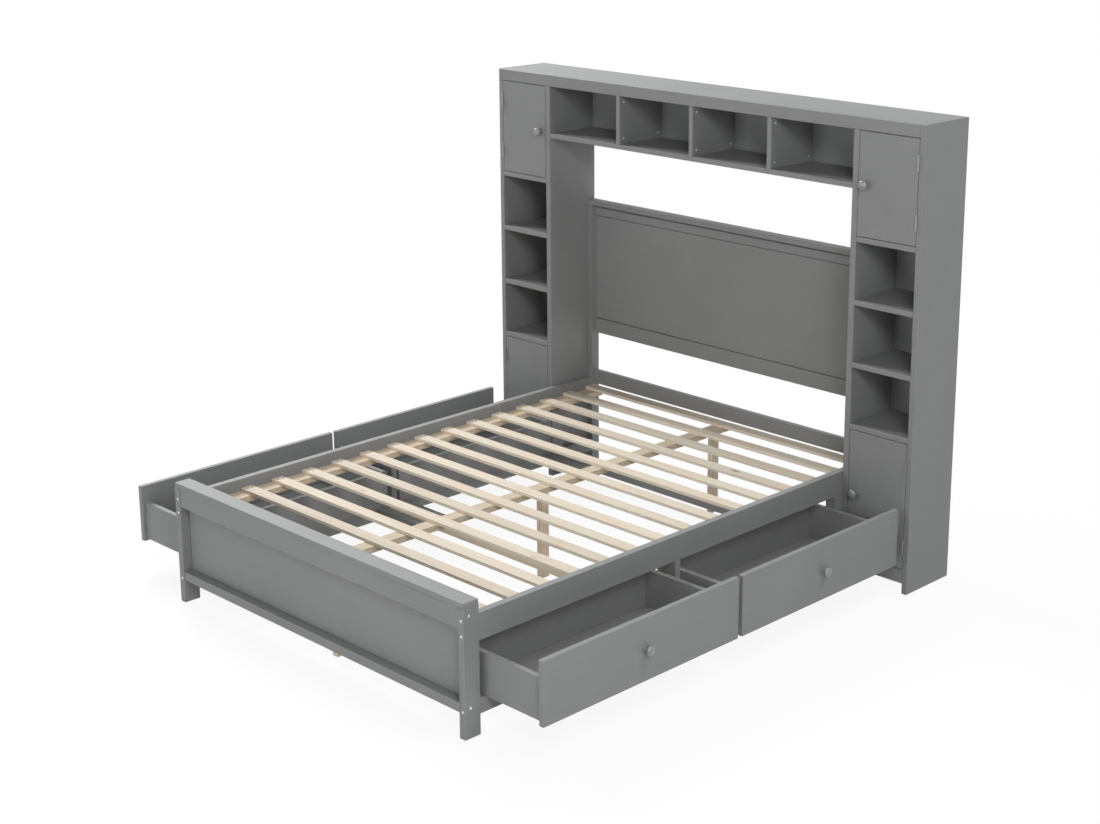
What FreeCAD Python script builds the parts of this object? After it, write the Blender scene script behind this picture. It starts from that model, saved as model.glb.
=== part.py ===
import FreeCAD, Part
import os

# A wooden bed with four drawers under it and a storage headboard around its head end.
# Millimetres, +Z up, +X to the right of a person looking from the foot to the head, +Y to the head.
# The origin is on the floor, in the middle of the bed. The drawers stand pulled open.

SIZES = {
    # Whole object
    "bed_width": 1450,
    "bed_length": 2000,
    "cabinet_width": 285,
    "unit_depth": 245,
    "unit_height": 1620,
    # Foot end
    "rail_thick": 25,
    "foot_post_depth": 59,
    "foot_post_height": 407,
    "foot_cap_thick": 18.5,
    "foot_rail_setback": 3,
    "foot_rail_depth": 40,
    "foot_top_rail_height": 65,
    "foot_bottom_rail_low": 79.5,
    "foot_bottom_rail_height": 31.5,
    "foot_panel_setback": 33,
    "foot_panel_thick": 8,
    # Side rails and the posts between them
    "side_rail_drop": 27,
    "side_rail_height": 86,
    "lower_rail_low": 65.5,
    "lower_rail_height": 51,
    "drawer_post_width": 24,
    "drawer_post_lap": 5,
    # Slats and what carries them
    "ledger_rise": 22,
    "ledger_width": 60,
    "ledger_height": 21,
    "slat_width": 45,
    "slat_thick": 12,
    "slat_end_gap": 1,
    "first_slat_offset": 138,
    "last_slat_offset": 57.4,
    "slat_screw_radius": 2.6,
    "slat_screw_height": 2.7,
    "slat_screw_recess": 3,
    "slat_screw_play": 0.2,
    "slat_screw_inset": 22,
    "slat_screw_spread": 22,
    "beam_width": 50,
    "beam_height": 22,
    "beam_head_gap": 30,
    "leg_width": 25,
    "leg_depth": 35,
    "leg_foot_offset": 91.5,
    "leg_head_offset": 77.5,
    # Cross members under the slats
    "stretcher_thick": 22,
    "stretcher_height": 32,
    "cross_rail_setback": 20,
    "cross_rail_thick": 22,
    # Head end
    "head_post_depth": 40,
    "over_head_gap": 270,
    "head_cap_thick": 17,
    "head_cap_front_overhang": 4,
    "head_cap_back_overhang": 2,
    "head_rail_thick": 20,
    "head_top_rail_height": 43,
    "head_bottom_rail_low": 564,
    "head_bottom_rail_height": 60,
    "head_panel_setback": 3,
    "head_panel_thick": 10,
    "support_rail_setback": 12,
    "support_rail_thick": 20,
    "support_rail_rise": 3,
    "support_rail_height": 56,
    # Drawers
    "left_drawer_opening": 312,
    "right_drawer_opening": 241.5,
    "drawer_closed_gap": 0.5,
    "drawer_foot_gap": 3,
    "drawer_mid_gap": 18,
    "drawer_end_gap": 29,
    "front_length_difference": 28,
    "front_thick": 18.5,
    "front_low_lap": 5.5,
    "front_high_lap": 20,
    "foot_box_near_inset": 22,
    "foot_box_far_inset": 35,
    "head_box_near_inset": 11,
    "head_box_far_inset": 18,
    "box_depth": 347,
    "box_wall": 12,
    "box_low_gap": 1.5,
    "box_high_gap": 41,
    "box_bottom_lift": 4,
    "box_bottom_thick": 6,
    "runner_length": 270,
    "runner_width": 37,
    "runner_thick": 26,
    "runner_gap": 0.3,
    # Headboard unit
    "outer_side_thick": 20,
    "inner_side_thick": 23,
    "shelf_thick": 19,
    "top_thick": 18,
    "fascia_thick": 18,
    "fascia_height": 44,
    "kick_low": 37,
    "base_height": 88,
    "lower_compartment_height": 451,
    "upper_compartment_height": 360.1,
    "cabinet_back_thick": 9,
    "pigeonhole_height": 207,
    "bridge_shelf_thick": 18,
    "bridge_back_thick": 12,
    "divider_thick": 18,
    "cap_radius": 4,
    "cap_height": 1.6,
    "cap_inset": 22,
    # Doors and hinges
    "door_thick": 18,
    "door_gap": 2,
    "door_knob_inset": 30,
    "hinge_height": 52,
    "hinge_inset": 80,
    "barrel_radius": 3.4,
    "barrel_gap": 0.2,
    "knuckle_gap": 0.3,
    "pin_radius": 1.5,
    "pin_play": 0.05,
    "leaf_play": 0.2,
    "leaf_depth": 15,
    "leaf_setback": 0.3,
    # Knobs
    "knob_length": 28,
    "knob_radius": 17,
    "knob_head_half": 9.5,
    "knob_neck_radius": 8.5,
    "knob_base_radius": 14,
    "knob_base_thick": 4,
    # Bolts that hold the rails to the posts
    "bolt_head_radius": 5,
    "bolt_head_height": 2.6,
    "bolt_head_recess": 3,
    "bolt_radius": 2.5,
    "bolt_reach": 35,
    "bolt_hole_play": 0.5,
    "side_rail_bolt_drop": 12,
    "side_rail_bolt_rise": 26.6,
    "lower_rail_bolt_rise": 19.5,
    "foot_top_bolt_drop": 26,
    "foot_bottom_bolt_rise": 15.5,
}
COUNTS = {"slat_count": 15, "open_bay_count": 3, "divider_count": 3}
SIDES = {"left": -1, "right": 1}

doc = FreeCAD.newDocument("storage_bed")
sheet = doc.addObject("Spreadsheet::Sheet", "dim")
for row, (alias, value) in enumerate({**SIZES, **COUNTS}.items(), start=1):
    sheet.set(f"A{row}", alias)
    sheet.set(f"B{row}", str(value))
    sheet.setAlias(f"B{row}", alias)
doc.recompute()

nodes = []


def node(piece, label):
    """Give a finished sub-part its own name and keep it for writing."""
    piece.Label = label
    nodes.append(piece)
    return piece


def from_foot(offset):
    """The Y of a plane at this distance behind the front of the foot end."""
    return f"({offset} - dim.bed_length / 2)"


def rising(low, size):
    """The span that starts at low and is this long."""
    return low, f"({low} + {size})"


def falling(high, size):
    """The span that ends at high and is this long."""
    return f"({high} - {size})", high


def centred(width):
    """The span of this width about the middle plane."""
    return f"(-{width} / 2)", f"({width} / 2)"


def around(middle, width):
    """The span of this width about a given middle."""
    return f"({middle} - {width} / 2)", f"({middle} + {width} / 2)"


def halfway(low, high):
    """The middle of a span."""
    return f"(({low} + {high}) / 2)"


def on_side(sign, near, far):
    """The span from near to far out from the middle plane, on the right or on the left."""
    return (near, far) if sign > 0 else (f"(-{far})", f"(-{near})")


def board(name, x_span, y_span, z_span):
    """A rectangular board between two planes on each axis."""
    piece = doc.addObject("Part::Box", name)
    for axis, size, (low, high) in zip("xyz", ("Length", "Width", "Height"), (x_span, y_span, z_span)):
        piece.setExpression(size, f"{high} - {low}")
        piece.setExpression(f"Placement.Base.{axis}", low)
    return piece


TURNS = {
    "+x": FreeCAD.Rotation(FreeCAD.Vector(0, 1, 0), 90),
    "-x": FreeCAD.Rotation(FreeCAD.Vector(0, 1, 0), -90),
    "+y": FreeCAD.Rotation(FreeCAD.Vector(1, 0, 0), -90),
    "-y": FreeCAD.Rotation(FreeCAD.Vector(1, 0, 0), 90),
    "+z": FreeCAD.Rotation(),
}


def placed(piece, point, direction):
    """Stand a piece made along +Z at a point, with its axis along another direction."""
    piece.Placement = FreeCAD.Placement(FreeCAD.Vector(), TURNS[direction])
    for axis, place in zip("xyz", point):
        piece.setExpression(f"Placement.Base.{axis}", place)
    return piece


def cylinder(name, radius, height, point, direction="+z"):
    """A round bar that starts at a point and runs along a direction."""
    piece = doc.addObject("Part::Cylinder", name)
    piece.setExpression("Radius", radius)
    piece.setExpression("Height", height)
    return placed(piece, point, direction)


def group(name, pieces):
    """Separate solids that share one node."""
    piece = doc.addObject("Part::Compound", name)
    piece.Links = pieces
    return piece


def fused(name, pieces):
    """One solid made of several overlapping ones."""
    piece = doc.addObject("Part::MultiFuse", name)
    piece.Shapes = pieces
    piece.Refine = True
    return piece


def cut(name, base, tool):
    """A solid with the space of another taken out of it."""
    piece = doc.addObject("Part::Cut", name)
    piece.Base = base
    piece.Tool = tool
    return piece


# Planes that several pieces share
bed_side = "(dim.bed_width / 2)"
rail_inner = "(dim.bed_width / 2 - dim.rail_thick)"
rail_centre = "(dim.bed_width / 2 - dim.rail_thick / 2)"
between_rails = (f"(-{rail_inner})", rail_inner)
foot_front = "(-dim.bed_length / 2)"
foot_post_back = from_foot("dim.foot_post_depth")
back_plane = "(dim.bed_length / 2)"
head_post_back = f"({back_plane} - dim.head_cap_back_overhang)"
head_post_front = f"({head_post_back} - dim.head_post_depth)"
rail_run = (foot_post_back, head_post_front)
side_rail_top = "(dim.foot_post_height - dim.side_rail_drop)"
side_rail_low = f"({side_rail_top} - dim.side_rail_height)"
lower_rail_top = "(dim.lower_rail_low + dim.lower_rail_height)"
lower_rail_rise = ("dim.lower_rail_low", lower_rail_top)
ledger_low = f"({side_rail_low} + dim.ledger_rise)"
slat_bottom = f"({ledger_low} + dim.ledger_height)"
slat_top = f"({slat_bottom} + dim.slat_thick)"

# Planes of the headboard unit
unit_front = f"({back_plane} - dim.unit_depth)"
unit_side = f"({bed_side} + dim.cabinet_width)"
outer_side_face = f"({unit_side} - dim.outer_side_thick)"
inner_side_face = f"({bed_side} + dim.inner_side_thick)"
fascia_low = "(dim.unit_height - dim.fascia_height)"
fascia_back = f"({unit_front} + dim.fascia_thick)"
top_bottom = "(dim.unit_height - dim.top_thick)"
cabinet_back_front = f"({back_plane} - dim.cabinet_back_thick)"
bridge_back_front = f"({back_plane} - dim.bridge_back_thick)"
bridge_shelf_top = f"({top_bottom} - dim.pigeonhole_height)"
bridge_shelf_low = f"({bridge_shelf_top} - dim.bridge_shelf_thick)"
head_post_top = f"({bridge_shelf_low} - dim.over_head_gap - dim.head_cap_thick)"

# Planes of the drawers
front_inner = {
    side: f"({bed_side} + dim.drawer_closed_gap + dim.{side}_drawer_opening)"
    for side in SIDES
}
box_rise = (f"({lower_rail_top} + dim.box_low_gap)", f"({side_rail_low} - dim.box_high_gap)")
front_rise = (f"({lower_rail_top} - dim.front_low_lap)", f"({side_rail_low} + dim.front_high_lap)")
fronts_low = f"({foot_post_back} + dim.drawer_foot_gap)"
fronts_high = f"({unit_front} - dim.drawer_end_gap)"
fronts_length = f"({fronts_high} - {fronts_low} - dim.drawer_mid_gap)"
FRONTS = {
    "foot": rising(fronts_low, f"({fronts_length} + dim.front_length_difference) / 2"),
    "head": falling(fronts_high, f"({fronts_length} - dim.front_length_difference) / 2"),
}
BOXES = {
    end: (f"({low} + dim.{end}_box_near_inset)", f"({high} - dim.{end}_box_far_inset)")
    for end, (low, high) in FRONTS.items()
}
post_spans = {
    end: rising(f"({high} - dim.drawer_post_lap)", "dim.drawer_post_width")
    for end, (low, high) in FRONTS.items()
}


def bolt(name, point, direction, post_size):
    """A bolt with its head sunk in a post, and the hole that it passes through."""
    axis = "xyz".index(direction[1])
    sign = direction[0]
    seat = list(point)
    seat[axis] = f"({point[axis]} {sign} dim.bolt_head_recess)"
    top = list(point)
    top[axis] = f"({point[axis]} {sign} (dim.bolt_head_recess - dim.bolt_head_height))"
    length = f"({post_size} - dim.bolt_head_recess + dim.bolt_reach)"
    screw = fused(name, [
        cylinder(f"{name}_head", "dim.bolt_head_radius", "dim.bolt_head_height", top, direction),
        cylinder(f"{name}_shank", "dim.bolt_radius", length, seat, direction),
    ])
    hole = fused(f"{name}_hole", [
        cylinder(f"{name}_sink", "dim.bolt_head_radius + dim.bolt_hole_play", "dim.bolt_head_recess",
                 point, direction),
        cylinder(f"{name}_bore", "dim.bolt_radius + dim.bolt_hole_play", length, seat, direction),
    ])
    return screw, hole


def make_bolts():
    """Bolts through the four posts into the rails, and through the foot posts into the foot rails."""
    heights = {
        "top": f"({side_rail_top} - dim.side_rail_bolt_drop)",
        "middle": f"({side_rail_low} + dim.side_rail_bolt_rise)",
        "low": "(dim.lower_rail_low + dim.lower_rail_bolt_rise)",
    }
    cross_heights = {
        "cross_top": "(dim.foot_post_height - dim.foot_top_bolt_drop)",
        "cross_low": "(dim.foot_bottom_rail_low + dim.foot_bottom_bolt_rise)",
    }
    cross_y = from_foot("(dim.foot_rail_setback + dim.foot_rail_depth / 2)")
    made = []
    for side, sign in SIDES.items():
        across = on_side(sign, rail_centre, rail_centre)[0]
        for name, height in heights.items():
            made.append(bolt(f"foot_bolt_{name}_{side}", (across, foot_front, height), "+y",
                             "dim.foot_post_depth"))
            made.append(bolt(f"head_bolt_{name}_{side}", (across, head_post_back, height), "-y",
                             "dim.head_post_depth"))
        face = on_side(sign, bed_side, bed_side)[0]
        inward = "-x" if sign > 0 else "+x"
        for name, height in cross_heights.items():
            made.append(bolt(f"{name}_{side}", (face, cross_y, height), inward, "dim.rail_thick"))
    node(group("bolts", [screw for screw, hole in made]), "frame_bolts")
    return group("bolt_holes", [hole for screw, hole in made])


def make_foot_end(holes):
    """Two posts, a cap over them, and two rails with a panel between."""
    post_y = rising(foot_front, "dim.foot_post_depth")
    post_z = ("0", "dim.foot_post_height")
    for side, sign in SIDES.items():
        blank = board(f"foot_post_blank_{side}", on_side(sign, rail_inner, bed_side), post_y, post_z)
        node(cut(f"foot_post_cut_{side}", blank, holes), f"foot_post_{side}")
    cap_z = rising("dim.foot_post_height", "dim.foot_cap_thick")
    node(board("foot_cap_board", centred("dim.bed_width"), post_y, cap_z), "foot_cap")
    rail_y = rising(from_foot("dim.foot_rail_setback"), "dim.foot_rail_depth")
    top_z = falling("dim.foot_post_height", "dim.foot_top_rail_height")
    low_z = rising("dim.foot_bottom_rail_low", "dim.foot_bottom_rail_height")
    for name, rail_z in (("top", top_z), ("bottom", low_z)):
        blank = board(f"foot_{name}_rail_blank", between_rails, rail_y, rail_z)
        node(cut(f"foot_{name}_rail_cut", blank, holes), f"foot_{name}_rail")
    panel_y = rising(from_foot("dim.foot_panel_setback"), "dim.foot_panel_thick")
    node(board("foot_panel_board", between_rails, panel_y, (low_z[1], top_z[0])), "foot_panel")


def make_side_rails(holes):
    """The upper rail, the lower rail and the drawer posts between them, on both sides."""
    lower_rails = []
    posts = []
    for side, sign in SIDES.items():
        rail_x = on_side(sign, rail_inner, bed_side)
        blank = board(f"side_rail_blank_{side}", rail_x, rail_run, (side_rail_low, side_rail_top))
        node(cut(f"side_rail_cut_{side}", blank, holes), f"side_rail_{side}")
        lower = board(f"lower_rail_blank_{side}", rail_x, rail_run, lower_rail_rise)
        lower_rails.append(cut(f"lower_rail_cut_{side}", lower, holes))
        for end, post_y in post_spans.items():
            posts.append(board(f"{end}_drawer_post_{side}", rail_x, post_y, (lower_rail_top, side_rail_low)))
    node(group("lower_rail_pair", lower_rails), "lower_rails")
    node(group("drawer_post_set", posts), "drawer_posts")


def make_slat_base():
    """Ledgers on the rails, the middle beam on its legs, and the slats with their screws."""
    ledgers = [
        board(f"ledger_{side}", on_side(sign, f"({rail_inner} - dim.ledger_width)", rail_inner),
              rail_run, (ledger_low, slat_bottom))
        for side, sign in SIDES.items()
    ]
    node(group("ledger_pair", ledgers), "slat_ledgers")
    beam_y = (foot_post_back, f"({back_plane} - dim.beam_head_gap)")
    beam_bottom = f"({slat_bottom} - dim.beam_height)"
    node(board("beam_board", centred("dim.beam_width"), beam_y, (beam_bottom, slat_bottom)), "center_beam")

    first_leg = from_foot("dim.leg_foot_offset")
    last_leg = f"({back_plane} - dim.leg_head_offset - dim.leg_depth)"
    legs = [
        board(f"leg_{place}", centred("dim.leg_width"), rising(low, "dim.leg_depth"), ("0", beam_bottom))
        for place, low in (("foot", first_leg), ("middle", f"(({first_leg} + {last_leg}) / 2)"),
                           ("head", last_leg))
    ]
    node(group("leg_set", legs), "center_legs")

    slats = []
    screws = []
    slat_end = f"({rail_inner} - dim.slat_end_gap)"
    slat_run = "(dim.bed_length - dim.first_slat_offset - dim.last_slat_offset)"
    for index in range(COUNTS["slat_count"]):
        middle = from_foot(f"(dim.first_slat_offset + {slat_run} * {index} / (dim.slat_count - 1))")
        blank = board(f"slat_blank_{index}", (f"(-{slat_end})", slat_end),
                      around(middle, "dim.slat_width"), (slat_bottom, slat_top))
        sinks = []
        for side, sign in SIDES.items():
            screw_x = f"({sign} * ({slat_end} - dim.slat_screw_inset))"
            for edge, screw_y in zip(("near", "far"), around(middle, "dim.slat_screw_spread")):
                name = f"slat_screw_{index}_{side}_{edge}"
                seat = (screw_x, screw_y, f"({slat_top} - dim.slat_screw_recess)")
                screws.append(cylinder(name, "dim.slat_screw_radius", "dim.slat_screw_height", seat))
                sinks.append(cylinder(f"{name}_sink", "dim.slat_screw_radius + dim.slat_screw_play",
                                      "dim.slat_screw_recess", seat))
        slats.append(cut(f"slat_{index}", blank, group(f"slat_sinks_{index}", sinks)))
    node(group("slat_set", slats), "slats")
    node(group("slat_screw_set", screws), "slat_screws")


def make_cross_members():
    """The stretcher between the drawers, the rail behind them and the bars that carry them."""
    stretcher_y = rising(post_spans["foot"][0], "dim.stretcher_thick")
    stretcher_z = falling(lower_rail_top, "dim.stretcher_height")
    node(board("stretcher_board", between_rails, stretcher_y, stretcher_z), "mid_stretcher")
    cross_y = rising(f"({unit_front} + dim.cross_rail_setback)", "dim.cross_rail_thick")
    node(board("cross_rail_board", between_rails, cross_y, lower_rail_rise), "head_cross_rail")

    runners = []
    runner_z = falling(f"({box_rise[0]} - dim.runner_gap)", "dim.runner_thick")
    round_end = f"({rail_inner} - dim.runner_length + dim.runner_width / 2)"
    for side, sign in SIDES.items():
        for end, (low, high) in BOXES.items():
            for edge, runner_y in (("near", rising(low, "dim.runner_width")),
                                   ("far", falling(high, "dim.runner_width"))):
                name = f"runner_{end}_{edge}_{side}"
                bar = board(f"{name}_bar", on_side(sign, round_end, rail_inner), runner_y, runner_z)
                nose = cylinder(f"{name}_nose", "dim.runner_width / 2", "dim.runner_thick",
                                (on_side(sign, round_end, round_end)[0],
                                 f"({runner_y[0]} + dim.runner_width / 2)", runner_z[0]))
                runners.append(fused(name, [bar, nose]))
    node(group("runner_set", runners), "drawer_runners")


def make_head_end(holes):
    """Two tall posts, a cap, two rails with a panel between, and the rail behind the mattress."""
    post_y = (head_post_front, head_post_back)
    posts = [
        cut(f"head_post_cut_{side}",
            board(f"head_post_blank_{side}", on_side(sign, rail_inner, bed_side), post_y,
                  ("0", head_post_top)), holes)
        for side, sign in SIDES.items()
    ]
    node(group("head_post_pair", posts), "head_posts")
    cap_y = (f"({head_post_front} - dim.head_cap_front_overhang)", back_plane)
    node(board("head_cap_board", centred("dim.bed_width"), cap_y,
               rising(head_post_top, "dim.head_cap_thick")), "head_cap")
    rail_y = falling(head_post_back, "dim.head_rail_thick")
    top_z = falling(head_post_top, "dim.head_top_rail_height")
    low_z = rising("dim.head_bottom_rail_low", "dim.head_bottom_rail_height")
    rails = [
        board(f"head_{name}_rail", between_rails, rail_y, rail_z)
        for name, rail_z in (("top", top_z), ("bottom", low_z))
    ]
    node(group("head_rail_pair", rails), "head_panel_rails")
    panel_y = rising(f"({rail_y[0]} + dim.head_panel_setback)", "dim.head_panel_thick")
    node(board("head_panel_board", between_rails, panel_y, (low_z[1], top_z[0])), "head_panel")
    support_y = rising(f"({head_post_front} + dim.support_rail_setback)", "dim.support_rail_thick")
    node(board("support_rail_board", between_rails, support_y,
               rising(f"({slat_top} + dim.support_rail_rise)", "dim.support_rail_height")), "head_support_rail")


def shelf_heights():
    """The undersides of the cabinet's boards, from the bottom one to the floor of the upper compartment."""
    first = "(dim.base_height + dim.lower_compartment_height)"
    last = f"({fascia_low} - dim.upper_compartment_height - dim.shelf_thick)"
    steps = COUNTS["open_bay_count"]
    open_shelves = [f"({first} + ({last} - {first}) * {step} / dim.open_bay_count)" for step in range(steps)]
    return ["(dim.base_height - dim.shelf_thick)", *open_shelves, last]


def make_cabinets(fascia):
    """The two side cabinets: sides, shelves, backs and kick boards."""
    outer_sides = []
    inner_sides = []
    shelves = []
    backs = []
    kicks = []
    unit_y = (unit_front, back_plane)
    bottom, *upper = shelf_heights()
    for side, sign in SIDES.items():
        inside_x = on_side(sign, inner_side_face, outer_side_face)
        outer_sides.append(board(f"outer_side_{side}", on_side(sign, outer_side_face, unit_side), unit_y,
                                 ("0", "dim.unit_height")))
        blank = board(f"inner_side_blank_{side}", on_side(sign, bed_side, inner_side_face), unit_y,
                      ("0", top_bottom))
        inner_sides.append(cut(f"inner_side_{side}", blank, fascia))
        shelves.append(board(f"bottom_board_{side}", inside_x, (fascia_back, cabinet_back_front),
                             rising(bottom, "dim.shelf_thick")))
        for index, low in enumerate(upper):
            shelves.append(board(f"shelf_{index}_{side}", inside_x, (unit_front, cabinet_back_front),
                                 rising(low, "dim.shelf_thick")))
        backs.append(board(f"cabinet_back_{side}", inside_x, (cabinet_back_front, back_plane),
                           (bottom, top_bottom)))
        kicks.append(board(f"kick_{side}", inside_x, (unit_front, fascia_back),
                           ("dim.kick_low", "dim.base_height")))
    node(group("outer_side_pair", outer_sides), "cabinet_outer_sides")
    node(group("inner_side_pair", inner_sides), "cabinet_inner_sides")
    node(group("shelf_set", shelves), "cabinet_shelves")
    node(group("back_pair", backs), "cabinet_backs")
    node(group("kick_pair", kicks), "kick_boards")


def make_bridge():
    """The top of the unit, the fascia under it and the row of pigeonholes between the cabinets."""
    unit_x = (f"(-{outer_side_face})", outer_side_face)
    fascia = node(board("fascia_board", unit_x, (unit_front, fascia_back), (fascia_low, "dim.unit_height")),
                  "fascia")
    node(board("top_board_blank", unit_x, (fascia_back, back_plane), (top_bottom, "dim.unit_height")),
         "top_board")
    bridge_x = centred("dim.bed_width")
    node(board("bridge_shelf_board", bridge_x, (unit_front, bridge_back_front),
               (bridge_shelf_low, bridge_shelf_top)), "bridge_shelf")
    node(board("bridge_back_board", bridge_x, (bridge_back_front, back_plane),
               (bridge_shelf_low, top_bottom)), "bridge_back")

    dividers = []
    caps = []
    for index in range(COUNTS["divider_count"]):
        middle = f"(dim.bed_width * (({index} + 1) / (dim.divider_count + 1) - 1 / 2))"
        divider_x = around(middle, "dim.divider_thick")
        blank = board(f"divider_blank_{index}", divider_x, (unit_front, bridge_back_front),
                      (bridge_shelf_top, top_bottom))
        dividers.append(cut(f"divider_{index}", blank, fascia))
        for column, cap_y in (("front", f"({unit_front} + dim.cap_inset)"),
                              ("back", f"({bridge_back_front} - dim.cap_inset)")):
            for level, cap_z in (("low", f"({bridge_shelf_top} + dim.cap_inset)"),
                                 ("high", f"({fascia_low} - dim.cap_inset)")):
                caps.append(cylinder(f"cap_{index}_{column}_{level}", "dim.cap_radius", "dim.cap_height",
                                     (divider_x[1], cap_y, cap_z), "+x"))
    node(group("divider_set", dividers), "bridge_dividers")
    node(group("cap_set", caps), "connector_caps")
    return fascia


def knob(label, point, direction):
    """A turned knob: a round foot, a neck and a flattened ball, standing on a face."""
    head_middle = "(dim.knob_length - dim.knob_head_half)"
    ball = doc.addObject("Part::Ellipsoid", f"{label}_ball")
    ball.setExpression("Radius1", "dim.knob_head_half")
    ball.setExpression("Radius2", "dim.knob_radius")
    placed(ball, ("0", "0", head_middle), "+z")
    neck = cylinder(f"{label}_neck", "dim.knob_neck_radius", head_middle, ("0", "0", "0"))
    base = cylinder(f"{label}_base", "dim.knob_base_radius", "dim.knob_base_thick", ("0", "0", "0"))
    return node(placed(fused(f"{label}_turned", [ball, neck, base]), point, direction), label)


def make_drawer(end, side, sign):
    """A drawer: its front, a box of two sides, a back and a bottom, and a knob."""
    name = f"drawer_{end}_{side}"
    front_y = FRONTS[end]
    low, high = BOXES[end]
    box_outer = front_inner[side]
    box_inner = f"({box_outer} - dim.box_depth)"
    front_outer = f"({box_outer} + dim.front_thick)"
    node(board(f"{name}_front_board", on_side(sign, box_outer, front_outer), front_y, front_rise),
         f"{name}_front")
    box_x = on_side(sign, box_inner, box_outer)
    back_face = f"({box_inner} + dim.box_wall)"
    inside_x = on_side(sign, back_face, box_outer)
    near_y = rising(low, "dim.box_wall")
    far_y = falling(high, "dim.box_wall")
    inside_y = (near_y[1], far_y[0])
    walls = [
        board(f"{name}_near_side", box_x, near_y, box_rise),
        board(f"{name}_far_side", box_x, far_y, box_rise),
        board(f"{name}_back", on_side(sign, box_inner, back_face), inside_y, box_rise),
        board(f"{name}_bottom", inside_x, inside_y,
              rising(f"({box_rise[0]} + dim.box_bottom_lift)", "dim.box_bottom_thick")),
    ]
    node(group(f"{name}_walls", walls), f"{name}_box")
    knob(f"{name}_knob", (on_side(sign, front_outer, front_outer)[0], halfway(*front_y), halfway(*front_rise)),
         "+x" if sign > 0 else "-x")


def hinge_leaf(name, leaf_x, axis_x, axis_y, hinge_z, knuckles):
    """A hinge leaf: a thin plate in the gap beside the door, with its knuckles rolled round the pin."""
    plate_front = f"({unit_front} + dim.leaf_setback)"
    pieces = [board(f"{name}_plate", leaf_x, rising(plate_front, "dim.leaf_depth"), hinge_z)]
    for index, (low, high) in enumerate(knuckles):
        pieces.append(board(f"{name}_web_{index}", leaf_x, (axis_y, f"({plate_front} + dim.leaf_depth)"),
                            (low, high)))
        pieces.append(cylinder(f"{name}_knuckle_{index}", "dim.barrel_radius", f"{high} - {low}",
                               (axis_x, axis_y, low)))
    bore = cylinder(f"{name}_bore", "dim.pin_radius + dim.pin_play", f"{hinge_z[1]} - {hinge_z[0]}",
                    (axis_x, axis_y, hinge_z[0]))
    return cut(name, fused(f"{name}_solid", pieces), bore)


def make_door(level, side, sign, door_z, frame_hinges):
    """An inset door with a knob near its free edge and two butt hinges at its outer edge."""
    name = f"door_{level}_{side}"
    free_edge = f"({inner_side_face} + dim.door_gap)"
    hinge_edge = f"({outer_side_face} - dim.door_gap)"
    node(board(f"{name}_board", on_side(sign, free_edge, hinge_edge), rising(unit_front, "dim.door_thick"),
               door_z), name)
    knob_x = on_side(sign, f"({free_edge} + dim.door_knob_inset)", "0")[0 if sign > 0 else 1]
    knob(f"{name}_knob", (knob_x, unit_front, halfway(*door_z)), "-y")

    axis_out = f"({outer_side_face} - dim.door_gap / 2)"
    axis_x = on_side(sign, axis_out, axis_out)[0]
    axis_y = f"({unit_front} - dim.barrel_gap - dim.barrel_radius)"
    leaf_thick = "(dim.door_gap - dim.leaf_play) / 2"
    door_leaf_x = on_side(sign, *rising(hinge_edge, leaf_thick))
    frame_leaf_x = on_side(sign, *falling(outer_side_face, leaf_thick))
    door_leaves = []
    for place, middle in (("low", f"({door_z[0]} + dim.hinge_inset)"),
                          ("high", f"({door_z[1]} - dim.hinge_inset)")):
        low, high = around(middle, "dim.hinge_height")
        centre_low, centre_high = around(middle, "(dim.hinge_height / 3)")
        outer_knuckles = [(low, f"({centre_low} - dim.knuckle_gap)"),
                          (f"({centre_high} + dim.knuckle_gap)", high)]
        hinge = f"{name}_hinge_{place}"
        door_leaves.append(hinge_leaf(f"{hinge}_door_leaf", door_leaf_x, axis_x, axis_y, (low, high),
                                      [(centre_low, centre_high)]))
        frame_hinges.append(hinge_leaf(f"{hinge}_frame_leaf", frame_leaf_x, axis_x, axis_y, (low, high),
                                       outer_knuckles))
        frame_hinges.append(cylinder(f"{hinge}_pin", "dim.pin_radius", "dim.hinge_height",
                                     (axis_x, axis_y, low)))
    node(group(f"{name}_leaves", door_leaves), f"{name}_hinges")


def make_doors():
    """Upper and lower doors in both cabinets, and the hinge halves that stay on the cabinet."""
    shelves = shelf_heights()
    door_spans = {
        "upper": (f"({shelves[-1]} + dim.shelf_thick + dim.door_gap)", f"({fascia_low} - dim.door_gap)"),
        "lower": ("(dim.base_height + dim.door_gap)", f"({shelves[1]} - dim.door_gap)"),
    }
    frame_hinges = []
    for level, door_z in door_spans.items():
        for side, sign in SIDES.items():
            make_door(level, side, sign, door_z, frame_hinges)
    node(group("cabinet_hinge_set", frame_hinges), "cabinet_hinges")


def check_document():
    """Stop if any object failed or any sub-part is empty or broken."""
    failed = [item.Label for item in doc.Objects if {"Invalid", "Error"} & set(item.State)]
    broken = [piece.Label for piece in nodes if piece.Shape.isNull() or not piece.Shape.isValid()]
    if failed or broken:
        raise RuntimeError(f"failed objects: {failed}; broken shapes: {broken}")


def write_parts():
    """Write each sub-part to a file of its own name."""
    os.makedirs("parts", exist_ok=True)
    for piece in nodes:
        piece.Shape.exportStep(os.path.join("parts", piece.Label + ".step"))


bolt_holes = make_bolts()
make_foot_end(bolt_holes)
make_side_rails(bolt_holes)
make_slat_base()
make_cross_members()
make_head_end(bolt_holes)
make_cabinets(make_bridge())
for end in FRONTS:
    for side, sign in SIDES.items():
        make_drawer(end, side, sign)
make_doors()

doc.recompute()
check_document()
write_parts()
print(len(nodes), "nodes,", sum(len(piece.Shape.Solids) for piece in nodes), "solids")
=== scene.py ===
import math

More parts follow.
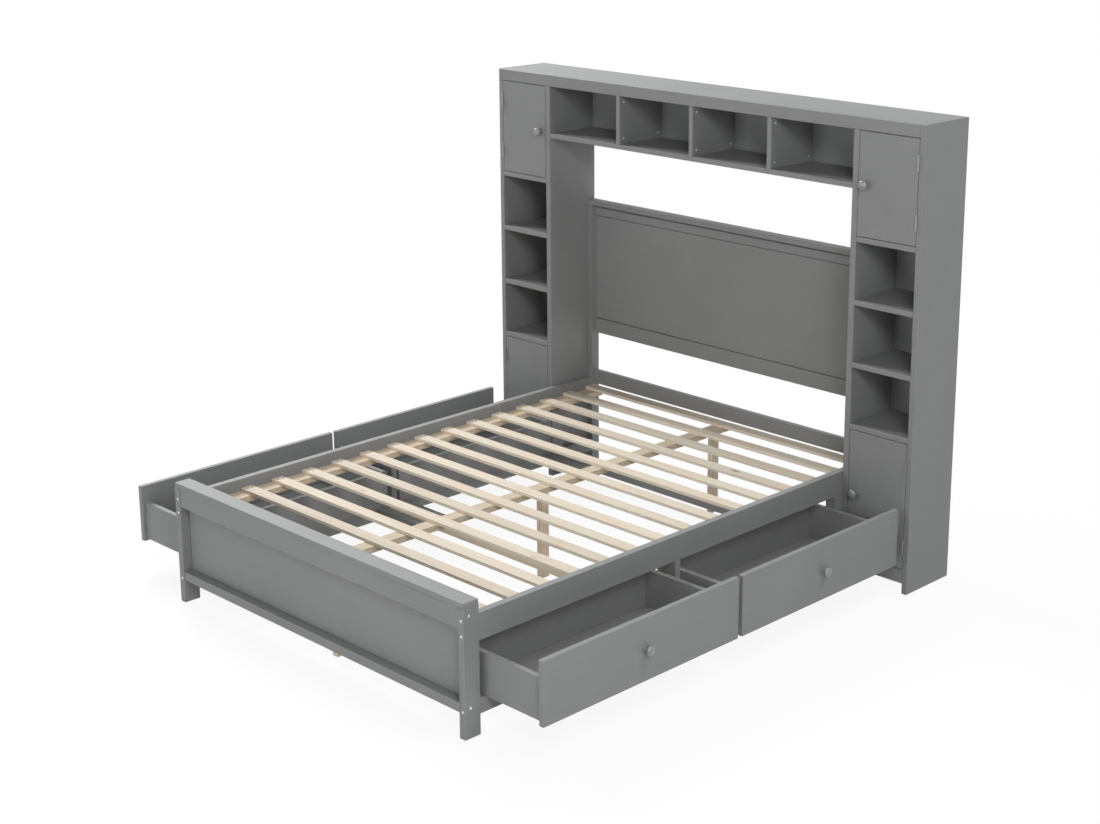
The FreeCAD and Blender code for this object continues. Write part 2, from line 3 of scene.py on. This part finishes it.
import bmesh
import bpy
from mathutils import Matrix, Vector


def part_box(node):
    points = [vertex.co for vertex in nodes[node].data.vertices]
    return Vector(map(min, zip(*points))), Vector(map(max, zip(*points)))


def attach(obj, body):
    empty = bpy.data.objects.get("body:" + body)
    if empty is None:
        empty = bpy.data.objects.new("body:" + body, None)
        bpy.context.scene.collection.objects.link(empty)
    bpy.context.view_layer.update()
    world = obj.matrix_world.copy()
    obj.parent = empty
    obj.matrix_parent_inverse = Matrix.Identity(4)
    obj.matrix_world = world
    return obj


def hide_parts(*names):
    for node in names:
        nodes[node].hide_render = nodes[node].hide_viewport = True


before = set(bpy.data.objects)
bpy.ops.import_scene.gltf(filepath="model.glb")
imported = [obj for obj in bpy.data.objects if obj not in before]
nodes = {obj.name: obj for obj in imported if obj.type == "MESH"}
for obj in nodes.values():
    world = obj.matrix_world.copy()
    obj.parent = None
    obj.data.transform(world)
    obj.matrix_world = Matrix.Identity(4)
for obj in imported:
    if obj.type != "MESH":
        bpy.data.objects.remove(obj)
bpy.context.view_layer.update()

# Lengths are in metres. Colours are linear, and a pine's tones are cream, rose and grain line.
GREY_DEEP = (0.203, 0.206, 0.207, 1)
GREY_PALE = (0.233, 0.236, 0.237, 1)
KNOB_DEEP = (0.215, 0.218, 0.219, 1)
KNOB_PALE = (0.240, 0.243, 0.244, 1)
SLAT_TONES = (0.605, 0.560, 0.470, 1), (0.615, 0.530, 0.440, 1), (0.465, 0.375, 0.265, 1)
LEDGER_TONES = (0.570, 0.490, 0.365, 1), (0.570, 0.455, 0.340, 1), (0.425, 0.325, 0.205, 1)
BEAM_TONES = (0.515, 0.450, 0.345, 1), (0.515, 0.425, 0.325, 1), (0.395, 0.310, 0.205, 1)
# Legs and stretcher: pine tones made paler than the slats', partly painted light that stands in for
# the light under the bed
LEG_TONES_WITH_PAINTED_LIGHT = (0.800, 0.715, 0.555, 1), (0.800, 0.675, 0.525, 1), (0.560, 0.440, 0.300, 1)
PINE_KNOT = (0.240, 0.140, 0.070, 1)
ZINC_PALE = (0.780, 0.785, 0.790, 1)
ZINC_DEEP = (0.620, 0.625, 0.630, 1)
HINGE_PALE = (0.350, 0.353, 0.356, 1)
HINGE_DEEP = (0.300, 0.303, 0.306, 1)
SCREW_PALE = (0.090, 0.085, 0.080, 1)
SCREW_DEEP = (0.035, 0.033, 0.031, 1)
FLOOR_SEEN = (0.900, 0.900, 0.900, 1)
FLOOR_MATT = (0.780, 0.780, 0.780, 1)
WHITE = (1, 1, 1, 1)

AXES = "XYZ"
# Sockets of a mix node that mixes colours
MIX_SHARE, MIX_FIRST, MIX_SECOND = 0, 6, 7
MIX_RESULT = 2


class NodeTree:
    """A node tree, put together one node at a time."""

    def __init__(self, tree):
        self.tree = tree

    def node(self, kind, inputs=None, **settings):
        made = self.tree.nodes.new(kind)
        for key, value in settings.items():
            setattr(made, key, value)
        for key, value in (inputs or {}).items():
            self.feed(made.inputs[key], value)
        return made

    def feed(self, socket, value):
        """Link a socket to another node's output, or set it to a plain value."""
        if isinstance(value, bpy.types.NodeSocket):
            self.tree.links.new(value, socket)
        else:
            socket.default_value = value

    def maths(self, operation, first, second=0.0):
        made = self.node("ShaderNodeMath", {0: first, 1: second}, operation=operation)
        return made.outputs["Value"]

    def seen(self):
        """1 where the camera looks, straight or by way of gloss or glass, and 0 for other light."""
        path = self.node("ShaderNodeLightPath")
        seen = path.outputs["Is Camera Ray"]
        for ray in ("Is Glossy Ray", "Is Transmission Ray"):
            seen = self.maths("MAXIMUM", seen, path.outputs[ray])
        return seen

    def show_mix(self, output, share, first, second):
        """Send the mix of two shaders to an output node."""
        mix = self.node("ShaderNodeMixShader", {0: share, 1: first, 2: second})
        self.feed(self.tree.nodes[output].inputs["Surface"], mix.outputs["Shader"])


class Finish(NodeTree):
    """The nodes of a material, with the ones that the finishes share."""

    def __init__(self, name):
        self.material = bpy.data.materials.new(name)
        self.material.use_nodes = True
        super().__init__(self.material.node_tree)
        self.shader = self.tree.nodes["Principled BSDF"]
        coordinates = self.node("ShaderNodeTexCoord")
        self.place = coordinates.outputs["Object"]
        self.facing = coordinates.outputs["Normal"]

    def part(self, vector, axis):
        """One component of a vector."""
        return self.node("ShaderNodeSeparateXYZ", {"Vector": vector}).outputs[AXES.index(axis)]

    def moved(self, place, shift):
        made = self.node("ShaderNodeVectorMath", {0: place, 1: shift}, operation="ADD")
        return made.outputs["Vector"]

    def times(self, vector, factor):
        made = self.node("ShaderNodeVectorMath", {0: vector, "Scale": factor}, operation="SCALE")
        return made.outputs["Vector"]

    def stretched(self, place, axis, run, across):
        """A place whose pattern is scaled by one number along an axis, and by another across it."""
        scale = tuple(run if letter == axis else across for letter in AXES)
        return self.node("ShaderNodeMapping", {"Vector": place, "Scale": scale}).outputs["Vector"]

    def noise(self, place, scale, detail=2, distortion=0):
        made = self.node("ShaderNodeTexNoise", {
            "Vector": place, "Scale": scale, "Detail": detail, "Distortion": distortion})
        return made.outputs["Fac"]

    def ranged(self, value, start, end, low=0, high=1):
        """Map a value between start and end to low and high, held at both ends."""
        made = self.node("ShaderNodeMapRange", {
            "Value": value, "From Min": start, "From Max": end, "To Min": low, "To Max": high})
        return made.outputs["Result"]

    def mixed(self, share, first, second):
        """A colour that lies a share of the way from one to another."""
        made = self.node("ShaderNodeMix", {MIX_SHARE: share, MIX_FIRST: first, MIX_SECOND: second},
                         data_type="RGBA")
        return made.outputs[MIX_RESULT]

    def bump(self, height, depth, strength, under=None):
        """A relief, laid over another one where that is given."""
        inputs = {"Height": height, "Distance": depth, "Strength": strength}
        if under is not None:
            inputs["Normal"] = under
        return self.node("ShaderNodeBump", inputs).outputs["Normal"]

    def set(self, **values):
        """Feed the shader's sockets and hand over the material."""
        for key, value in values.items():
            self.feed(self.shader.inputs[key.replace("_", " ")], value)
        return self.material


CLOUD_SHARE = 0.6
GRAIN_SHARE = 0.4
ROLLER_SHARE = 0.5
PAINT_IOR = 1.5


def painted(name, axis):
    """Satin grey paint: faint clouds, the board's grain just showing, and a fine roller texture."""
    finish = Finish(name)
    clouds = finish.noise(finish.place, scale=2.6, detail=4, distortion=0.4)
    grain_place = finish.stretched(finish.place, axis, run=1.6, across=42.0)
    grain = finish.noise(grain_place, scale=2.4, detail=5, distortion=0.6)
    tone = finish.maths("ADD", finish.maths("MULTIPLY", clouds, CLOUD_SHARE),
                        finish.maths("MULTIPLY", grain, GRAIN_SHARE))
    shade = finish.mixed(finish.ranged(tone, start=0.3, end=0.7), GREY_DEEP, GREY_PALE)
    roller = finish.noise(finish.place, scale=620.0)
    relief = finish.bump(grain, depth=0.0006, strength=0.25)
    relief = finish.bump(roller, depth=0.00025, strength=0.30, under=relief)
    uneven = finish.maths("ADD", grain, finish.maths("MULTIPLY", roller, ROLLER_SHARE))
    rough = finish.ranged(uneven, start=0.4, end=1.1, low=0.52, high=0.66)
    return finish.set(Base_Color=shade, Roughness=rough, Normal=relief, IOR=PAINT_IOR)


KNOB_SPECULAR = 0.7


def knob_paint(name):
    """Semi-gloss grey enamel: faint clouds of tone and gloss, and fine specks."""
    finish = Finish(name)
    clouds = finish.noise(finish.place, scale=46.0, detail=3)
    specks = finish.noise(finish.place, scale=900.0)
    shade = finish.mixed(finish.ranged(clouds, start=0.3, end=0.7), KNOB_DEEP, KNOB_PALE)
    relief = finish.bump(specks, depth=0.0001, strength=0.25)
    rough = finish.ranged(clouds, start=0.3, end=0.7, low=0.16, high=0.22)
    return finish.set(Base_Color=shade, Roughness=rough, Normal=relief, IOR=PAINT_IOR,
                      Specular_IOR_Level=KNOB_SPECULAR)


BOARD_JUMP = 9.0
KNOT_BEND = (0.012, 0.012, 0.012)
RING_SHARE = 0.34
FIBRE_SHARE = 0.30
PINE_IOR = 1.42


def pine(name, axis, row_axis, row_pitch, row_start, tones, knots, painted_side_lift=1.0):
    """Bare planed pine: grain along one axis, and a pattern of its own for each board of a row.

    A knots nearer to 1 leaves fewer knots. Sides that face along the row are painted paler by the
    last argument's factor, as painted light on them.
    """
    cream, rose, line = tones
    finish = Finish(name)
    row = finish.maths("SUBTRACT", finish.part(finish.place, row_axis), row_start)
    row = finish.maths("FLOOR", finish.maths("ADD", finish.maths("DIVIDE", row, row_pitch), 0.5))
    chance = finish.node("ShaderNodeTexWhiteNoise", {"W": row}, noise_dimensions="1D")
    place = finish.moved(finish.place, finish.times(chance.outputs["Color"], BOARD_JUMP))

    knot_place = finish.stretched(place, axis, run=3.4, across=13.0)
    cells = finish.node("ShaderNodeTexVoronoi", {
        "Vector": knot_place, "Scale": 1.0, "Randomness": 1.0}, feature="F1")
    draw = finish.node("ShaderNodeSeparateColor", {"Color": cells.outputs["Color"]}).outputs["Red"]
    chosen = finish.maths("GREATER_THAN", draw, knots)
    away = cells.outputs["Distance"]
    core = finish.ranged(away, start=0.04, end=0.11, low=1, high=0)
    knot = finish.maths("MULTIPLY", core, chosen)
    around = finish.ranged(away, start=0.05, end=0.42, low=1, high=0)
    swirl = finish.maths("MULTIPLY", around, chosen)

    bent = finish.moved(place, finish.times(KNOT_BEND, swirl))
    ring_place = finish.stretched(bent, axis, run=1.1, across=30.0)
    rings = finish.node("ShaderNodeTexWave", {
        "Vector": ring_place, "Scale": 1.15, "Distortion": 3.2, "Detail": 3.0, "Detail Scale": 0.9},
        wave_type="BANDS", bands_direction="DIAGONAL", wave_profile="SAW").outputs["Fac"]
    fibre_place = finish.stretched(place, axis, run=3.0, across=260.0)
    fibre = finish.noise(fibre_place, scale=1.0, detail=5)
    length_place = finish.stretched(place, axis, run=5.5, across=9.0)
    lengths = finish.noise(length_place, scale=1.0, detail=3, distortion=0.5)

    shade = finish.mixed(finish.ranged(lengths, start=0.36, end=0.64), cream, rose)
    ring_lines = finish.ranged(rings, start=0.45, end=1.0)
    fibre_lines = finish.ranged(fibre, start=0.42, end=0.75)
    lines = finish.maths("ADD", finish.maths("MULTIPLY", ring_lines, RING_SHARE),
                         finish.maths("MULTIPLY", fibre_lines, FIBRE_SHARE))
    shade = finish.mixed(lines, shade, line)
    shade = finish.mixed(knot, shade, PINE_KNOT)
    # Painted light: sides that face along the row are made paler, standing in for the light on them
    turned = finish.maths("ABSOLUTE", finish.part(finish.facing, row_axis))
    painted_side_light = finish.ranged(turned, start=0.6, end=0.9, low=1.0, high=painted_side_lift)
    board = finish.ranged(chance.outputs["Value"], start=0.0, end=1.0, low=0.94, high=1.05)
    level = finish.maths("MULTIPLY", board, painted_side_light)
    toned = finish.node("ShaderNodeHueSaturation", {"Value": level, "Color": shade})
    relief = finish.bump(fibre, depth=0.0004, strength=0.35)
    relief = finish.bump(rings, depth=0.0003, strength=0.25, under=relief)
    rough = finish.ranged(fibre, start=0.3, end=0.7, low=0.58, high=0.74)
    return finish.set(Base_Color=toned.outputs["Color"], Roughness=rough, Normal=relief,
                      IOR=PINE_IOR)


def metal(name, pale, deep, smooth, rough, metallic=1.0, painted_below=None):
    """Plated steel with a fine uneven sheen, and under a given height the doors' paint over it."""
    finish = Finish(name)
    specks = finish.noise(finish.place, scale=240.0, detail=3)
    fine = finish.noise(finish.place, scale=2160.0)
    share = finish.ranged(specks, start=0.35, end=0.65)
    shade = finish.mixed(share, deep, pale)
    if painted_below is not None:
        below = finish.maths("LESS_THAN", finish.part(finish.place, "Z"), painted_below)
        shade = finish.mixed(below, shade, finish.mixed(share, GREY_DEEP, GREY_PALE))
    uneven = finish.ranged(specks, start=0.3, end=0.7, low=smooth, high=rough)
    return finish.set(Base_Color=shade, Metallic=metallic, Roughness=uneven,
                      Normal=finish.bump(fine, depth=0.00005, strength=0.2))


PAINT = {axis: painted(f"grey_paint_{axis.lower()}", axis) for axis in AXES}
KNOB = knob_paint("knob_paint_gloss")
# A row pitch that makes one board of the whole node
WHOLE = 10.0
PINES = {
    # The slats' sides that face along the row get painted light, 1.26 times paler
    "slats": pine("pine_slats", axis="X", row_axis="Y", row_pitch=0.1289, row_start=-0.862,
                  tones=SLAT_TONES, knots=0.86, painted_side_lift=1.26),
    "slat_ledgers": pine("pine_ledgers", axis="Y", row_axis="X", row_pitch=0.7, row_start=0.0,
                         tones=LEDGER_TONES, knots=0.62),
    "center_beam": pine("pine_beam", axis="Y", row_axis="X", row_pitch=WHOLE, row_start=0.0,
                        tones=BEAM_TONES, knots=0.80),
    "center_legs": pine("pine_legs", axis="Z", row_axis="Y", row_pitch=0.9, row_start=-0.9,
                        tones=LEG_TONES_WITH_PAINTED_LIGHT, knots=0.84),
    "mid_stretcher": pine("pine_stretcher", axis="X", row_axis="Y", row_pitch=WHOLE, row_start=0.3,
                          tones=LEG_TONES_WITH_PAINTED_LIGHT, knots=0.80),
}
LOWER_DOORS_TOP = 0.8
STEELS = {
    "frame_bolts": metal("zinc_bolts", ZINC_PALE, ZINC_DEEP, smooth=0.24, rough=0.38),
    "slat_screws": metal("dark_screws", SCREW_PALE, SCREW_DEEP, smooth=0.35, rough=0.55),
    "connector_caps": metal("zinc_caps", ZINC_PALE, ZINC_DEEP, smooth=0.36, rough=0.50,
                            metallic=0.35),
    "hinges": metal("hinge_steel", HINGE_PALE, HINGE_DEEP, smooth=0.50, rough=0.62, metallic=0.0,
                    painted_below=LOWER_DOORS_TOP),
}

# The way the boards of each painted node run, where that isn't upright
RUNS = {
    "X": ("foot_cap", "foot_top_rail", "foot_bottom_rail", "head_cross_rail", "drawer_runners",
          "head_cap", "head_support_rail", "cabinet_shelves", "kick_boards", "top_board", "fascia",
          "bridge_shelf", "bridge_back"),
    "Y": ("side_rail_left", "side_rail_right", "lower_rails", "bridge_dividers"),
}
RUN_OF = {name: axis for axis, names in RUNS.items() for name in names}


def material_for(name):
    """The finish of a node."""
    if name in PINES:
        return PINES[name]
    if name in STEELS:
        return STEELS[name]
    if name.endswith("hinges"):
        return STEELS["hinges"]
    if name.endswith("knob"):
        return KNOB
    if name.startswith("drawer") and name.endswith("front"):
        return PAINT["Y"]
    return PAINT[RUN_OF.get(name, "Z")]


def dress(piece, material):
    """Give a piece one material in place of those it came with."""
    piece.data.materials.clear()
    piece.data.materials.append(material)


WELD = 0.00001
FLAT = math.radians(0.5)
SHARP = math.radians(35)
EASE = 0.0016
JOINT_EASE = 0.0026
PINE_EASE = 0.0012
STEEL_EASE = 0.0004
EASE_STEPS = 2
# Ends of the names of nodes that are round or small, or that a piece of the scene replaces
UNEASED = ("knob", "hinges", "screws", "bolts", "box", "drawer_posts", "_panel", "panel_rails")


def ease_edges(piece, width):
    """Soften the sharp edges of a node's boards, after joining its mesh and its flat faces."""
    weld = piece.modifiers.new("join", "WELD")
    weld.merge_threshold = WELD
    flat = piece.modifiers.new("flatten", "DECIMATE")
    flat.decimate_type = "DISSOLVE"
    flat.angle_limit = FLAT
    bevel = piece.modifiers.new("ease", "BEVEL")
    bevel.width = width
    bevel.segments = EASE_STEPS
    bevel.limit_method = "ANGLE"
    bevel.angle_limit = SHARP
    bevel.use_clamp_overlap = False


def ease_for(name):
    """How wide the eased edges of a node are."""
    if name in PINES:
        return PINE_EASE
    if name in ("fascia", "foot_cap"):
        return JOINT_EASE
    if name == "connector_caps":
        return STEEL_EASE
    return EASE


for name, piece in nodes.items():
    dress(piece, material_for(name))
    if not name.endswith(UNEASED):
        ease_edges(piece, ease_for(name))


def add_board(mesh, low, high, ease):
    """Add one board with eased edges to a mesh."""
    low, high = Vector(low), Vector(high)
    corners = bmesh.ops.create_cube(mesh, size=1)["verts"]
    bmesh.ops.scale(mesh, vec=high - low, verts=corners)
    bmesh.ops.translate(mesh, vec=(low + high) / 2, verts=corners)
    edges = list({edge for corner in corners for edge in corner.link_edges})
    bmesh.ops.bevel(mesh, geom=edges, offset=ease, segments=EASE_STEPS, affect="EDGES", profile=0.5)


def stand_for(node, name, mesh, body, material):
    """Make a piece of a mesh that takes the place of a node."""
    data = bpy.data.meshes.new(name)
    mesh.to_mesh(data)
    mesh.free()
    piece = bpy.data.objects.new(name, data)
    bpy.context.scene.collection.objects.link(piece)
    dress(piece, material)
    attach(piece, body)
    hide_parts(node)
    return piece


BOX_WALL = 0.018
BOX_DEEPER = 0.006
# Where the boxes start and end, as photographed, but the head ones clear of the lower doors' swing
BOX_ENDS = {"foot": (-0.9250, -0.1260), "head": (-0.0715, 0.7110)}
BOX_LIFT = 0.004
BOX_BOTTOM = 0.006
BOX_EASE = 0.0014


def drawer_box(end, side, sign):
    """The box of a drawer, board by board, with walls and length as in the photograph."""
    name = f"drawer_{end}_{side}"
    low, high = (corner.copy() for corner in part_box(f"{name}_box"))
    low.y, high.y = BOX_ENDS[end]
    if sign > 0:
        low.x -= BOX_DEEPER
        back = low.x
        left, right = low.x + BOX_WALL, high.x
    else:
        high.x += BOX_DEEPER
        back = high.x - BOX_WALL
        left, right = low.x, high.x - BOX_WALL
    near, far = low.y + BOX_WALL, high.y - BOX_WALL
    under = low.z + BOX_LIFT
    mesh = bmesh.new()
    add_board(mesh, low, (high.x, near, high.z), BOX_EASE)
    add_board(mesh, (low.x, far, low.z), high, BOX_EASE)
    add_board(mesh, (back, near, low.z), (back + BOX_WALL, far, high.z), BOX_EASE)
    add_board(mesh, (left, near, under), (right, far, under + BOX_BOTTOM), BOX_EASE / 2)
    stand_for(f"{name}_box", f"{name}_box_boards", mesh, name, PAINT["Y"])


for end in ("foot", "head"):
    for side, sign in (("left", -1), ("right", 1)):
        drawer_box(end, side, sign)

POST_INNER = 0.684
POST_DEPTH = 0.024
HEAD_POST_ENDS = (0.7170, 0.7749)


def drawer_posts():
    """The posts between the drawers, as deep as photographed, the head ones up to the cabinets."""
    low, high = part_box("drawer_posts")
    mesh = bmesh.new()
    for sign in (-1, 1):
        left, right = sorted((sign * POST_INNER, sign * high.x))
        for start, end in ((low.y, low.y + POST_DEPTH), HEAD_POST_ENDS):
            add_board(mesh, (left, start, low.z), (right, end, high.z), EASE)
    stand_for("drawer_posts", "drawer_post_boards", mesh, "frame", PAINT["Z"])


drawer_posts()

PANEL_FACE = 0.006
PANEL_EASE = 0.0008
PANEL_LAP = 0.0005
HEAD_PANEL_GAP = 0.003
FOOT_PANEL_GAP = 0.002


def gapped_panel(node, gap, side_gap):
    """A panel whose raised face stops short of the boards round it and leaves a fine dark line."""
    low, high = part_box(node)
    back = low.y + PANEL_FACE
    mesh = bmesh.new()
    face = low + Vector((side_gap, 0, gap))
    add_board(mesh, face, (high.x - side_gap, back, high.z - gap), PANEL_EASE)
    add_board(mesh, (low.x, back - PANEL_LAP, low.z), high, PANEL_EASE / 2)
    stand_for(node, f"{node}_board", mesh, "frame", PAINT["X"])


gapped_panel("head_panel", gap=HEAD_PANEL_GAP, side_gap=0.0)
gapped_panel("foot_panel", gap=FOOT_PANEL_GAP, side_gap=FOOT_PANEL_GAP)

RAIL_FACE = 0.007
CAP_STRIP = 0.0082
CAP_GAP = 0.0030


def head_rails():
    """The rails over and under the head panel, the upper one with a fine gap close to the cap."""
    low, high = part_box("head_panel_rails")
    panel_low, panel_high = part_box("head_panel")
    face = low.y + RAIL_FACE
    strip = high.z - CAP_STRIP
    mesh = bmesh.new()
    add_board(mesh, low, (high.x, high.y, panel_low.z), EASE)
    add_board(mesh, (low.x, low.y, panel_high.z), (high.x, face, strip - CAP_GAP), PANEL_EASE)
    add_board(mesh, (low.x, low.y, strip), (high.x, face, high.z), PANEL_EASE)
    add_board(mesh, (low.x, face - PANEL_LAP, panel_high.z), high, PANEL_EASE / 2)
    stand_for("head_panel_rails", "head_rail_boards", mesh, "frame", PAINT["X"])


head_rails()

BOLT_STEPS = 24
HEAD_RADIUS = 0.0050
HEAD_HEIGHT = 0.0026
SHANK_RADIUS = 0.0025
SOCKET = 0.0021
SOCKET_DEPTH = 0.0018
# Depth under the top of the head, radius, and whether the ring is a hexagon
BOLT_RINGS = (
    (SOCKET_DEPTH, SOCKET, True),
    (0.0003, SOCKET, True),
    (0.0001, 0.0023, True),
    (0.0000, 0.0031, False),
    (0.0002, 0.0040, False),
    (0.0006, 0.0046, False),
    (0.0012, HEAD_RADIUS, False),
    (HEAD_HEIGHT, HEAD_RADIUS, False),
    (HEAD_HEIGHT, SHANK_RADIUS, False),
)
SIXTH = math.pi / 3


def ring_radius(radius, hexagon, turn):
    """How far a ring reaches at one angle: a circle, or a hexagon measured across its flats."""
    if not hexagon:
        return radius
    return radius / math.cos((turn + SIXTH / 2) % SIXTH - SIXTH / 2)


def add_bolt(mesh, top, inward, length):
    """Add one bolt: a domed head with a hexagon socket, and its shank."""
    across = inward.orthogonal().normalized()
    beside = inward.cross(across)
    loops = []
    for depth, radius, hexagon in BOLT_RINGS + ((length, SHANK_RADIUS, False),):
        loop = []
        for step in range(BOLT_STEPS):
            turn = math.tau * step / BOLT_STEPS
            reach = ring_radius(radius, hexagon, turn)
            outward = across * math.cos(turn) + beside * math.sin(turn)
            loop.append(mesh.verts.new(top + inward * depth + outward * reach))
        loops.append(loop)
    for upper, lower in zip(loops, loops[1:]):
        for step in range(BOLT_STEPS):
            after = (step + 1) % BOLT_STEPS
            mesh.faces.new((upper[step], upper[after], lower[after], lower[step]))
    mesh.faces.new(loops[0])
    mesh.faces.new(loops[-1])


# Where the bolts are, and for the last three, from the top of the head to the end of the shank
BOLT_ACROSS = 0.7125
BOLT_HEIGHTS = (0.3680, 0.3206, 0.0850)
SIDE_BOLT_HEIGHTS = (0.3810, 0.0950)
SIDE_BOLT_Y = -0.9770
FOOT_BOLT_Y = (-0.9996, -0.9060)
HEAD_BOLT_Y = (0.9976, 0.9230)
SIDE_BOLT_X = (0.7246, 0.6650)


def frame_bolts():
    """All bolts of the bed, with the sockets in their heads."""
    mesh = bmesh.new()
    for sign in (-1, 1):
        for height in BOLT_HEIGHTS:
            for start, end in (FOOT_BOLT_Y, HEAD_BOLT_Y):
                add_bolt(mesh, Vector((sign * BOLT_ACROSS, start, height)),
                         Vector((0, math.copysign(1, end - start), 0)), abs(end - start))
        for height in SIDE_BOLT_HEIGHTS:
            start, end = SIDE_BOLT_X
            add_bolt(mesh, Vector((sign * start, SIDE_BOLT_Y, height)), Vector((-sign, 0, 0)),
                     start - end)
    bmesh.ops.recalc_face_normals(mesh, faces=mesh.faces)
    piece = stand_for("frame_bolts", "frame_bolt_heads", mesh, "frame",
                      STEELS["frame_bolts"])
    piece.data.shade_smooth()
    piece.data.set_sharp_from_angle(angle=SHARP)


frame_bolts()

# Floor, light and camera
FLOOR_HALF = 60.0
FLOOR_ROUGH = 0.9
GLOW_NEAR = 0.91
GLOW_START = 1.2
GLOW_END = 3.6


def make_floor():
    """A floor that looks white, fully so away from the bed, and is matt grey to the light on it."""
    half = FLOOR_HALF
    corners = [(-half, -half, 0), (half, -half, 0), (half, half, 0), (-half, half, 0)]
    mesh = bpy.data.meshes.new("floor")
    mesh.from_pydata(corners, [], [(0, 1, 2, 3)])
    floor = bpy.data.objects.new("floor", mesh)
    bpy.context.scene.collection.objects.link(floor)
    finish = Finish("floor_white")
    seen = finish.seen()
    finish.set(Base_Color=finish.mixed(seen, FLOOR_MATT, FLOOR_SEEN), Roughness=FLOOR_ROUGH,
               Specular_IOR_Level=0.0)
    away = finish.node("ShaderNodeVectorMath", {0: finish.place}, operation="LENGTH")
    level = finish.ranged(away.outputs["Value"], GLOW_START, GLOW_END, low=GLOW_NEAR)
    share = finish.maths("MULTIPLY", seen, level)
    glow = finish.node("ShaderNodeEmission", {"Color": WHITE, "Strength": 1.0})
    finish.show_mix("Material Output", share, finish.shader.outputs["BSDF"],
                    glow.outputs["Emission"])
    mesh.materials.append(finish.material)


SKY_STRENGTH = 0.02


def make_world():
    """A white room that gives a little light of its own."""
    world = bpy.data.worlds.new("studio")
    bpy.context.scene.world = world
    world.use_nodes = True
    room = NodeTree(world.node_tree)
    light = room.tree.nodes["Background"]
    room.feed(light.inputs["Color"], WHITE)
    room.feed(light.inputs["Strength"], SKY_STRENGTH)
    shown = room.node("ShaderNodeBackground", {"Color": WHITE, "Strength": 1.0})
    room.show_mix("World Output", room.seen(), light.outputs["Background"],
                  shown.outputs["Background"])


def make_lamp(name, place, target, width, power):
    """A square soft box that faces a point."""
    data = bpy.data.lights.new(name, "AREA")
    data.shape = "SQUARE"
    data.size = width
    data.energy = power
    lamp = bpy.data.objects.new(name, data)
    lamp.location = place
    lamp.rotation_mode = "QUATERNION"
    lamp.rotation_quaternion = (Vector(target) - Vector(place)).to_track_quat("-Z", "Y")
    bpy.context.scene.collection.objects.link(lamp)


# The camera's focal length is in pixels of the photograph
PHOTO_WIDTH = 1100
SENSOR_MM = 36.0
CAMERA_PLACE = (4.4948, -4.2838, 2.5845)
CAMERA_YAW = math.radians(44.314)
CAMERA_PITCH = math.radians(14.713)
CAMERA_FOCUS = 1900.2
CAMERA_SHIFT = (-0.0506, -0.09)
CLIP_START = 0.05
CLIP_END = 300.0


def make_camera():
    """The camera, at the place from which the photograph was taken."""
    data = bpy.data.cameras.new("camera")
    data.sensor_width = SENSOR_MM
    data.sensor_fit = "HORIZONTAL"
    data.lens = CAMERA_FOCUS * SENSOR_MM / PHOTO_WIDTH
    data.shift_x, data.shift_y = CAMERA_SHIFT
    data.clip_start = CLIP_START
    data.clip_end = CLIP_END
    camera = bpy.data.objects.new("camera", data)
    camera.location = CAMERA_PLACE
    looking = Vector((-math.sin(CAMERA_YAW) * math.cos(CAMERA_PITCH),
                      math.cos(CAMERA_YAW) * math.cos(CAMERA_PITCH), -math.sin(CAMERA_PITCH)))
    camera.rotation_mode = "QUATERNION"
    camera.rotation_quaternion = looking.to_track_quat("-Z", "Y")
    bpy.context.scene.collection.objects.link(camera)
    bpy.context.scene.camera = camera


make_floor()
make_world()
make_lamp("key", place=(4.8, -3.4, 4.2), target=(0.0, 0.3, 0.8), width=1.4, power=112.0)
make_lamp("side", place=(5.6, -2.8, 2.8), target=(0.0, 0.0, 0.6), width=2.2, power=82.0)
make_lamp("front", place=(-0.5, -6.5, 2.2), target=(0.0, 0.0, 0.6), width=2.5, power=108.0)
make_lamp("top", place=(-4.2, 0.5, 4.6), target=(0.0, 0.0, 0.6), width=2.5, power=335.0)
make_lamp("over", place=(5.4, 1.7, 11.4), target=(0.0, 0.0, 0.4), width=5.0, power=590.0)
make_lamp("back", place=(-1.6, 5.5, 0.8), target=(0.0, 1.0, 0.8), width=1.4, power=90.0)
make_camera()
bpy.context.scene.view_settings.view_transform = "Standard"
